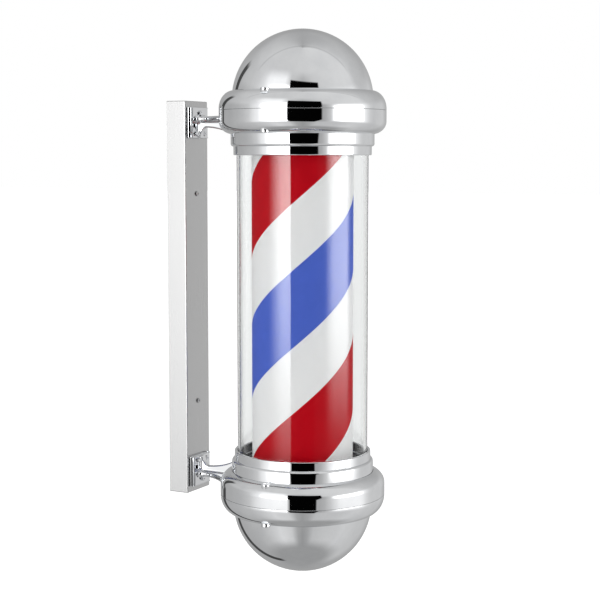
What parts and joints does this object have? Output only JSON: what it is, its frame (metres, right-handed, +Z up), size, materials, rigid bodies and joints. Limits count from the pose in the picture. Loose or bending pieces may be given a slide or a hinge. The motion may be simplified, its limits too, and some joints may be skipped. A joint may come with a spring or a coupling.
{
  "type": "barber pole light",
  "caption": "Wall-mounted barber pole light: chrome domed end housings, clear tube, turning striped drum with a lamp inside, held by cast arms on a wall channel.",
  "frame": {"origin": "middle of the wall face, where the wall plate rests on the wall, halfway up the pole", "axes": "+Y into the wall, +Z up along the pole, +X to the right seen from the room"},
  "size_m": [0.2126, 0.2935, 0.696],
  "materials": {
    "chrome": "polished chrome plate",
    "satin_steel": "satin stainless steel, brushed along its length",
    "zinc_steel": "zinc plated steel, hidden inside",
    "clear_acrylic": "clear polished acrylic",
    "drum_plastic": "translucent white plastic",
    "stripe_film": "printed film, helical red, white and blue stripes",
    "rubber": "black rubber",
    "motor_steel": "plated steel can",
    "brass": "turned brass",
    "white_plastic": "moulded white plastic",
    "black_plastic": "moulded black plastic"
  },
  "bodies": {
    "root": {"wall_channel": "satin_steel", "wall_plate": "zinc_steel", "standoff_upper": "zinc_steel", "standoff_lower": "zinc_steel", "channel_screw_upper": "chrome", "channel_screw_lower": "chrome", "top_dome": "chrome", "top_shoulder": "chrome", "top_band": "chrome", "top_collar": "chrome", "top_gasket": "rubber", "top_plate": "zinc_steel", "top_dome_screw_left": "chrome", "top_dome_screw_right": "chrome", "top_collar_screw_left": "chrome", "top_collar_screw_right": "chrome", "upper_arm": "chrome", "upper_backing_plate": "zinc_steel", "upper_foot_screw_1": "chrome", "upper_foot_screw_2": "chrome", "upper_foot_screw_3": "chrome", "upper_arm_bolt_left": "zinc_steel", "upper_arm_bolt_right": "zinc_steel", "bottom_dome": "chrome", "bottom_shoulder": "chrome", "bottom_band": "chrome", "bottom_collar": "chrome", "bottom_gasket": "rubber", "bottom_plate": "zinc_steel", "bottom_dome_screw_left": "chrome", "bottom_dome_screw_right": "chrome", "bottom_collar_screw_left": "chrome", "bottom_collar_screw_right": "chrome", "lower_arm": "chrome", "lower_backing_plate": "zinc_steel", "lower_foot_screw_1": "chrome", "lower_foot_screw_2": "chrome", "lower_foot_screw_3": "chrome", "lower_arm_bolt_left": "zinc_steel", "lower_arm_bolt_right": "zinc_steel", "outer_tube": "clear_acrylic", "gear_motor": "motor_steel", "motor_screw_left": "zinc_steel", "motor_screw_right": "zinc_steel", "terminal_block": "white_plastic", "mains_inlet_gland": "black_plastic", "lamp_stem": "zinc_steel", "stem_nut": "brass", "lamp_holder": "white_plastic", "led_lamp": "white_plastic", "led_driver": "white_plastic", "riser_lead": "black_plastic"},
    "drum": {"drum_shell": "drum_plastic", "stripe_film": "stripe_film", "drum_top_cap": "drum_plastic", "drum_bottom_cap": "drum_plastic", "drum_top_bush": "brass", "drum_hub": "brass", "motor_shaft": "zinc_steel"}
  },
  "joints": [
    {"name": "drum_spin", "type": "hinge", "parent": "root", "child": "drum", "pos_m": [0, -0.1872, 0], "axis": [0, 0, 1], "continuous": true}
  ]
}
